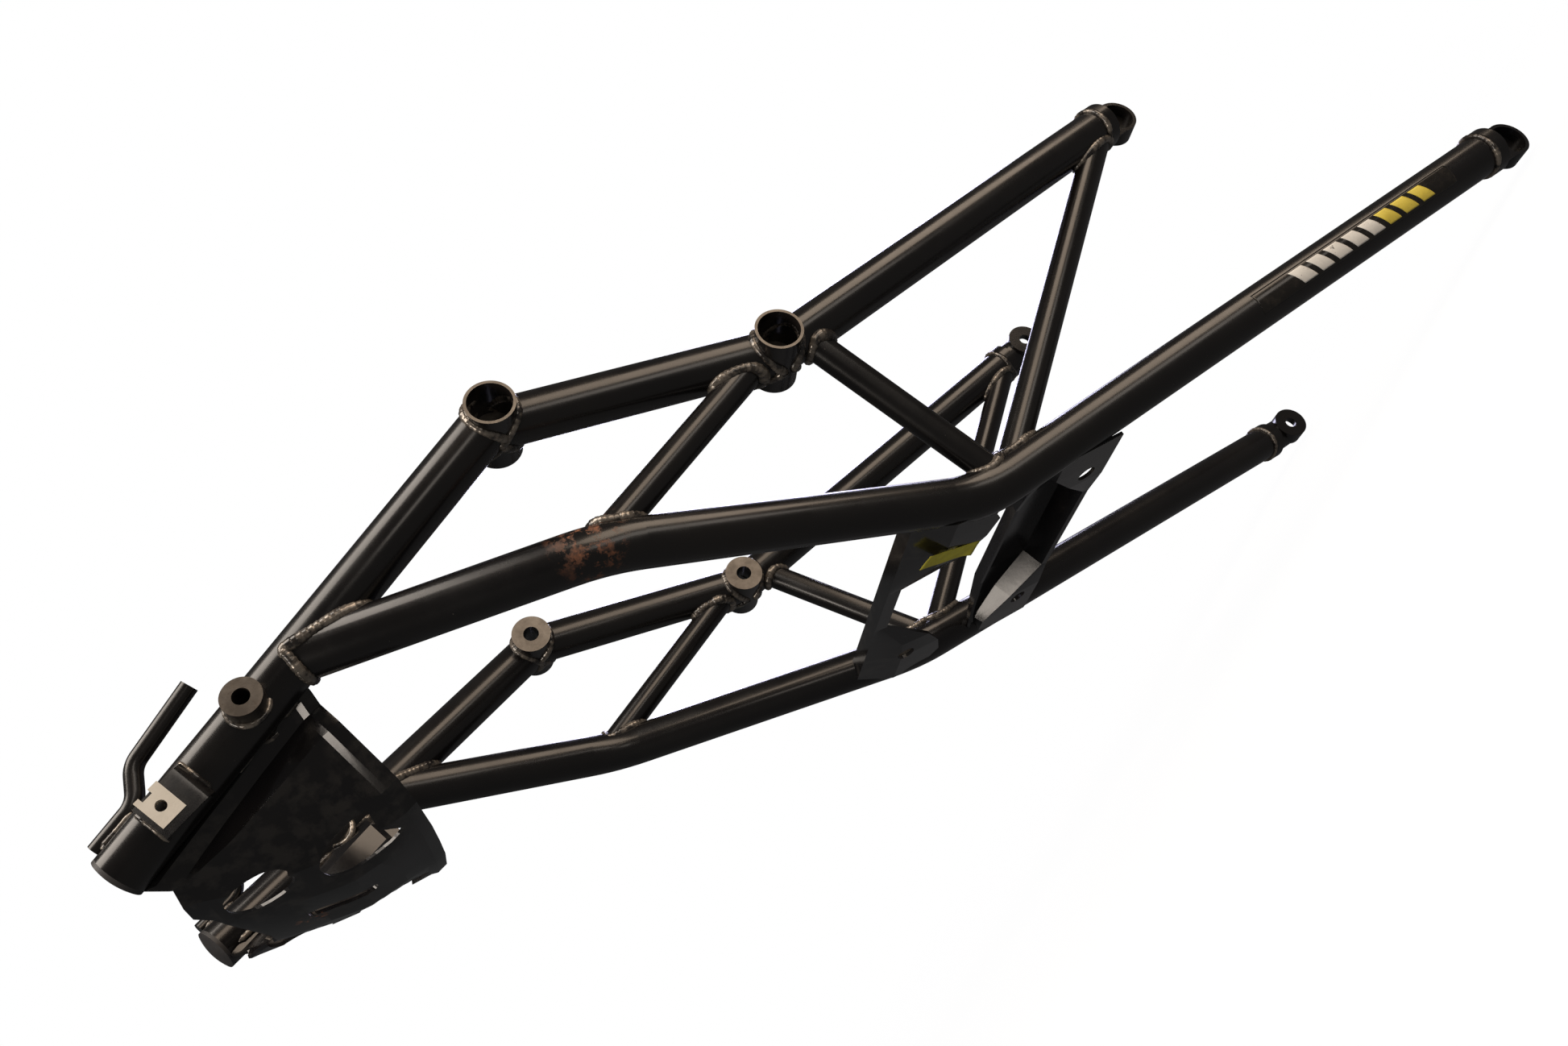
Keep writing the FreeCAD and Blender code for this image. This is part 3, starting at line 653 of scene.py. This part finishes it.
def crossmember_welds():
    """Runs along the crossmembers' ends against the lower rails."""
    bend = at("lower_bend")
    # From the rail's middle line towards the crossmembers: in, down and slightly forward.
    inward = Vector((0.2505, -0.55, -0.79325)).normalized()
    for number, (node, low_x, high_x) in enumerate(CROSSMEMBER_BEADS):
        for side_name, side in SIDES:
            points = []
            for step in range(8):
                x = low_x + (high_x - low_x) * step / 7
                beyond = at("lower_kink") if x < bend.x else at("lower_front")
                centre = bend.lerp(beyond, (x - bend.x) / (beyond.x - bend.x))
                point = centre + inward * (RAIL + 0.3)
                points.append(Vector((point.x, point.y * side, point.z)))
            edge_weld(f"weld_{node}_{side_name}", node, points, 1.7, 130 + number * 2 + side)


# ---------------------------------------------------------------- the tail tray

# Fold lines of the tray's left half, from its welded rim in to its middle. Each point gives how
# far it is ahead of the tail tubes' ends, how far out from the middle, and how far below them.
TRAY_FOLDS = [
    [(5, 67.5, 6), (35, 74.5, 6), (70, 82.5, 6), (97, 89, 6)],
    [(5.5, 68, 13.5), (35, 74, 12), (70, 80.5, 10.5), (96.5, 85.5, 9.5)],
    [(12, 64.5, 20.0), (38, 70, 18.0), (66, 76, 16.6), (95, 81.5, 15.5)],
    [(13, 64.0, 20.8), (36, 73.5, 27.0), (62, 78.5, 28.4), (94, 82.0, 28)],
    [(12, 60.5, 22.5), (34, 60.0, 33.2), (60, 61.5, 43), (92, 65.5, 61)],
    [(10, 54, 26.0), (26, 48, 38), (57, 47, 56), (91, 50, 70)],
    [(8, 22, 29), (26, 23, 43), (58, 23, 64), (91, 22.5, 74)],
    [(8, 0, 29), (26, 0, 43.5), (58, 0, 64.5), (91, 0, 74.5)],
]
# The floor and walls run on past the first fold points by this much, and past the last ones in
# a lip: how far ahead and how far out each of its lines is.
TRAY_REAR_LIP = 5.0
TRAY_LIP = [(3.0, 2.6), (9.0, 3.2)]
TRAY_METAL = 1.8
TRAY_STATIONS = 16
# Each window's name, then ahead, across and below as in the folds, its long and short radius,
# its tilt in degrees, and how much wider its front is, or narrower below 0.
TRAY_WINDOWS = [("rear", 29, 41, 38, 14.0, 11.0, 0, -0.1), ("front", 72, 42, 57, 20.0, 14.0, 6, 0.15)]
WINDOW_CUT = 24
# The slot's middle, ahead of the tail tubes' ends, with half the length of its straight part.
SLOT_MIDDLE = 51
SLOT_HALF = 11
SLOT_RADIUS = 4
# The notch in the tray's rear edge, from its right end to its left one: ahead and across.
TRAY_NOTCH = [
    (-13, -42), (3, -42), (9, -30), (15, -4), (19, 14), (19.5, 26), (15, 38), (6, 54), (3, 58), (-13, 58),
]
# How far below the tail tubes the slot's and the notch's cutters start, and how far up they go.
SLOT_CUT_START = 95
NOTCH_CUT_START = 60
CUTTER_HEIGHT = 60


def tray_point(ahead, across, below):
    """A point placed as the fold lines place theirs."""
    end = at("tail_end")
    return Vector((end.x + ahead, across, end.z - below))


def along_fold(points, share):
    """A point a share of the way along a fold line."""
    spans = len(points) - 1
    spot = min(share * spans, spans - 1e-6)
    first = int(spot)
    part = spot - first
    return tuple(a + (b - a) * part for a, b in zip(points[first], points[first + 1]))


def prism(name, outline, along, depth):
    """A closed prism from an outline swept along a direction, for cutting."""
    count = len(outline)
    vertices = outline + [point + along * depth for point in outline]
    faces = [tuple(range(count)), tuple(reversed(range(count, 2 * count)))]
    for step in range(count):
        after = (step + 1) % count
        faces.append((step, step + count, after + count, after))
    mesh = bpy.data.meshes.new(name)
    mesh.from_pydata([v * MM for v in vertices], [], faces)
    work = bmesh.new()
    work.from_mesh(mesh)
    bmesh.ops.recalc_face_normals(work, faces=work.faces)
    work.to_mesh(mesh)
    work.free()
    cutter = bpy.data.objects.new(name, mesh)
    bpy.context.scene.collection.objects.link(cutter)
    return cutter


def squared(number):
    """A sine or cosine pushed outwards, which squares off an ellipse a little."""
    return math.copysign(abs(number) ** 0.8, number)


def window_cutter(name, side, ahead, across, below, long_radius, short_radius, tilt, egg):
    """A cutter for a rounded opening through one side of the tray, with one end wider."""
    through = Vector((0, -side * 0.5, 0.85)).normalized()
    forward = Vector((1, 0, 0))
    sideways = through.cross(forward)
    centre = tray_point(ahead, side * across, below) - through * WINDOW_CUT / 2
    outline = []
    for step in range(40):
        turn = math.tau * step / 40
        x = squared(math.cos(turn)) * long_radius
        y = squared(math.sin(turn)) * short_radius
        y *= 1 + egg * x / long_radius
        skew = math.radians(tilt * side)
        px = x * math.cos(skew) - y * math.sin(skew)
        py = x * math.sin(skew) + y * math.cos(skew)
        outline.append(centre + forward * px + sideways * py)
    return prism(name, outline, through, WINDOW_CUT)


def tray_cutters():
    """Prisms for the windows, the slot and the notch in the rear edge."""
    cutters = []
    for side_name, side in SIDES:
        for name, *window in TRAY_WINDOWS:
            cutters.append(window_cutter(f"cut_{name}_{side_name}", side, *window))
    slot = []
    for end, start in ((1, -90), (-1, 90)):
        for step in range(13):
            turn = math.radians(start + 180 * step / 12)
            ahead = SLOT_MIDDLE + end * SLOT_HALF + math.cos(turn) * SLOT_RADIUS
            slot.append(tray_point(ahead, math.sin(turn) * SLOT_RADIUS, SLOT_CUT_START))
    notch = [tray_point(ahead, across, NOTCH_CUT_START) for ahead, across in TRAY_NOTCH]
    upward = Vector((0, 0, 1))
    cutters.append(prism("cut_slot", slot, upward, CUTTER_HEIGHT))
    cutters.append(prism("cut_notch", notch, upward, CUTTER_HEIGHT))
    return cutters


def tray_lines():
    """The left half's fold lines, with their rear and front lips."""
    lines = []
    for points in TRAY_FOLDS:
        line = [along_fold(points, step / TRAY_STATIONS) for step in range(TRAY_STATIONS + 1)]
        ahead, across, below = line[0]
        line.insert(0, (ahead - TRAY_REAR_LIP, across * 0.99, below - 2.5))
        ahead, across, below = line[-1]
        for forward, outward in TRAY_LIP:
            shift = outward * min(1, across / 50)
            line.append((ahead + forward, across + shift, below + outward * 0.55))
        lines.append(line)
    return lines


def tail_tray():
    """The pressed tray: ribbed side walls, a sloping floor with windows and a slot, a front lip."""
    lines = tray_lines()
    whole = [(1, line) for line in lines] + [(-1, line) for line in lines[-2::-1]]
    rows = len(lines[0])
    vertices = []
    for side, line in whole:
        vertices += [tray_point(ahead, across * side, below) for ahead, across, below in line]
    faces = []
    for column in range(len(whole) - 1):
        for row in range(rows - 1):
            a = column * rows + row
            faces.append((a, a + 1, a + rows + 1, a + rows))
    tray = new_piece("pressed_tray", vertices, faces, "pressed_paint")
    thick = tray.modifiers.new("metal", "SOLIDIFY")
    thick.thickness = TRAY_METAL * MM
    thick.offset = 0
    cutters = tray_cutters()
    for cutter in cutters:
        step = tray.modifiers.new(cutter.name, "BOOLEAN")
        step.operation = "DIFFERENCE"
        step.solver = "EXACT"
        step.object = cutter
    graph = bpy.context.evaluated_depsgraph_get()
    shaped = bpy.data.meshes.new_from_object(tray.evaluated_get(graph))
    tray.modifiers.clear()
    tray.data = shaped
    for cutter in cutters:
        bpy.data.objects.remove(cutter)
    soft_edges(tray, 1.3, 4, 11)
    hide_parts("tail_box")


# ---------------------------------------------------------------- printed marks and tape

NEAR_SIDE = -1
# Film and bars lie this far off the rail, in millimetres.
PRINT_GAP = 0.02
# Each of these is a distance from the rail's front end and a length.
FILM_SPAN = (34, 152)
WHITE_BARS = [(147, 10), (134, 9), (120, 10), (107, 9), (94, 9)]
YELLOW_BARS = [(81, 9), (67, 10), (54, 9)]
# Where the film and the bars start and end about the rail, in degrees up from straight out.
FILM_TURN = (-42, 20)
BAR_TURN = (-34, 12)
BAR_SLANT = 5
TAPE_LENGTH = 40
TAPE_WIDTH = 12
TAPE_THICK = 0.25


def on_rail(start, end, side, along, around, proud):
    """A point on a rail: millimetres from its start, an angle about it, and a height off its skin."""
    direction = (end - start).normalized()
    outward = (Y_AXIS - direction * direction.y).normalized()
    upward = direction.cross(outward)
    if upward.z < 0:
        upward = -upward
    turn = math.radians(around)
    offset = outward * math.cos(turn) + upward * math.sin(turn)
    point = start + direction * along + offset * (RAIL + proud)
    return Vector((point.x, point.y * side, point.z))


def slab_faces(columns, rows):
    """Faces of a closed slab whose lower and then upper points are two grids, row by row."""
    width = columns + 1
    layer = width * (rows + 1)
    faces = []
    for row in range(rows):
        for column in range(columns):
            corner = row * width + column
            lower = (corner, corner + 1, corner + width + 1, corner + width)
            faces.append(tuple(index + layer for index in lower))
            faces.append(tuple(reversed(lower)))
    border = list(range(width))
    border += [row * width + columns for row in range(1, rows + 1)]
    border += [rows * width + column for column in range(columns - 1, -1, -1)]
    border += [row * width for row in range(rows - 1, 0, -1)]
    for a, b in zip(border, border[1:] + border[:1]):
        faces.append((a, b, b + layer, a + layer))
    return faces


def rail_patch(name, start, length, low, high, slant, slot, proud):
    """A thin curved piece on the near lower rail's skin, slanted like a printed bar."""
    rail_start, rail_end = at("lower_front"), at("lower_bend")
    columns, rows = max(2, round(length)), 12
    vertices = []
    for layer in (0.0, proud):
        for row in range(rows + 1):
            share = row / rows
            for column in range(columns + 1):
                along = start + length * column / columns + slant * (share - 0.5)
                around = low + (high - low) * share
                height = layer + PRINT_GAP
                vertices.append(on_rail(rail_start, rail_end, NEAR_SIDE, along, around, height))
    return new_piece(name, vertices, slab_faces(columns, rows), slot)


def rail_marks():
    """Clear film on the near lower rail's front half, with plain white and yellow bars on it."""
    film = rail_patch("clear_film", *FILM_SPAN, *FILM_TURN, 0, "gloss_paint", 0.05)
    film.data.materials[0] = clear_film()
    for colour, bars in (("white", WHITE_BARS), ("yellow", YELLOW_BARS)):
        for number, (start, length) in enumerate(bars):
            name = f"mark_{colour}_{number}"
            rail_patch(name, start, length, *BAR_TURN, BAR_SLANT, f"decal_{colour}", 0.12)


def tape():
    """A blank strip of tape laid down the near tab of the rear crossmember, with a lifted corner."""
    low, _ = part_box("rear_crossmember")
    if not low.y < -0.09:
        raise ValueError("the near tab is not where the tape goes")
    mounts = {mount["name"]: mount for mount in frame["record"]["mounts"]}
    hole = Vector(mounts["rear_tab_right"]["pos_m"]) / MM
    forward = Vector((0.915, 0, -0.403))
    normal = Vector((0.403, 0, 0.915))
    long_way = forward * 0.93 + Y_AXIS * 0.36
    wide_way = Y_AXIS * 0.93 - forward * 0.36
    rows, columns = 20, 12
    vertices = []
    for layer in (0, 1):
        for row in range(rows + 1):
            for column in range(columns + 1):
                share, cross = row / rows - 0.5, column / columns - 0.5
                place = hole + long_way * TAPE_LENGTH * share + wide_way * TAPE_WIDTH * cross
                crinkle = 0.15 + 0.15 * math.sin(7 * share + 4 * cross) ** 2
                corner = 9 * max(0.0, share - 0.36) * (cross + 0.5)
                vertices.append(place - normal * (SHEET + crinkle + corner + TAPE_THICK * layer))
    faces = [tuple(reversed(face)) for face in slab_faces(columns, rows)]
    new_piece("blank_tape", vertices, faces, "tape_yellow")


# ---------------------------------------------------------------- camera and studio

CAMERA_PLACE = (-748.03, -645.22, 73.03)
# Degrees left of straight ahead, up from level, and tipped about the line of sight.
CAMERA_HEADING = 61.62256
CAMERA_RISE = 12.44563
CAMERA_ROLL = -57.52476
CAMERA_LENS = 29.07

FLOOR_RADIUS = 2.2
FLOOR_DROP = 0.004
WARM = (1.0, 0.90, 0.80)
BROWN = (1.0, 0.80, 0.62)
VIOLET = (0.76, 0.74, 1.0)
# Each light's name, place from the model's middle, size in metres, power and colour.
LIGHTS = [
    ("key", (-0.5, -0.7, 1.6), (1.5, 1.0), 26, WARM),
    ("broad", (0.83, -1.3, 0.71), (1.9, 0.7), 15, BROWN),
    ("fill", (-1.5, -0.5, 0.35), (0.4, 0.8), 7, WARM),
    ("rim", (0.9, 1.1, 0.7), (1.2, 0.3), 9, VIOLET),
    ("low", (0.25, -1.3, 0.0), (1.4, 0.25), 2.6, WARM),
]


def set_camera():
    """The camera at the viewing angle."""
    heading, rise = math.radians(CAMERA_HEADING), math.radians(CAMERA_RISE)
    level = math.cos(rise)
    forward = Vector((math.cos(heading) * level, math.sin(heading) * level, math.sin(rise)))
    level_right = forward.cross(Vector((0, 0, 1))).normalized()
    level_up = level_right.cross(forward)
    roll = math.radians(CAMERA_ROLL)
    right = level_right * math.cos(roll) + level_up * math.sin(roll)
    up = right.cross(forward)
    data = bpy.data.cameras.new("camera")
    data.lens = CAMERA_LENS
    data.sensor_width = 36
    data.clip_start = 0.01
    data.clip_end = 50
    camera = bpy.data.objects.new("camera", data)
    bpy.context.scene.collection.objects.link(camera)
    turn = Matrix((right, up, -forward)).transposed()
    camera.matrix_world = Matrix.Translation(Vector(CAMERA_PLACE) * MM) @ turn.to_4x4()
    bpy.context.scene.camera = camera


def area_light(name, place, aim, size, power, colour):
    """A rectangular light that faces a point."""
    data = bpy.data.lights.new(name, "AREA")
    data.shape = "RECTANGLE"
    data.size, data.size_y = size
    data.energy = power
    data.color = colour
    lamp = bpy.data.objects.new(name, data)
    bpy.context.scene.collection.objects.link(lamp)
    lamp.location = place
    lamp.rotation_mode = "QUATERNION"
    lamp.rotation_quaternion = (aim - place).to_track_quat("-Z", "Y")


def pale_floor(centre):
    """A faint white floor that fades out to nothing away from the model."""
    nodes = Nodes("pale_floor")
    tone = nodes.ramp(nodes.noise(1.5, 3), 0.3, 0.7)
    nodes.set(Base_Color=nodes.mix(tone, rgb(0.88, 0.88, 0.88), rgb(0.9, 0.9, 0.9)), Roughness=0.9)
    nodes.set(Specular_IOR_Level=0.0, Emission_Color=rgb(1, 1, 1), Emission_Strength=0.30)
    nodes.set(Alpha=nodes.math("MULTIPLY", nodes.near(centre, 0.35, 1.0), 0.05))
    return nodes.material


def lay_floor(middle):
    centre = Vector((middle.x, 0, cad_low.z - FLOOR_DROP))
    corner_count = 96
    turns = [math.tau * step / corner_count for step in range(corner_count)]
    corners = [centre + Vector((math.cos(t), math.sin(t), 0)) * FLOOR_RADIUS for t in turns]
    mesh = bpy.data.meshes.new("floor")
    mesh.from_pydata(corners, [], [tuple(range(corner_count))])
    mesh.materials.append(pale_floor(centre))
    floor = bpy.data.objects.new("floor", mesh)
    bpy.context.scene.collection.objects.link(floor)


def surround():
    """A world that is white to the camera and almost dark to everything else."""
    world = bpy.data.worlds.new("surround")
    world.use_nodes = True
    tree = world.node_tree
    backdrop = tree.nodes["Background"]
    backdrop.inputs["Color"].default_value = rgb(1, 1, 1)
    path = tree.nodes.new("ShaderNodeLightPath")
    strength = tree.nodes.new("ShaderNodeMapRange")
    strength.inputs["To Min"].default_value = 0.05
    strength.inputs["To Max"].default_value = 1.0
    tree.links.new(path.outputs["Is Camera Ray"], strength.inputs["Value"])
    tree.links.new(strength.outputs["Result"], backdrop.inputs["Strength"])
    bpy.context.scene.world = world


def studio():
    """The floor, the surround and soft lights."""
    middle = (cad_low + cad_high) / 2
    lay_floor(middle)
    surround()
    for name, offset, size, power, colour in LIGHTS:
        area_light(name, middle + Vector(offset), middle, size, power, colour)
    bpy.context.scene.view_settings.view_transform = "Standard"


dress_frame()
tail_tray()
tube_welds()
hook_welds()
clip_welds()
tray_welds()
crossmember_welds()
rail_marks()
tape()
studio()
set_camera()
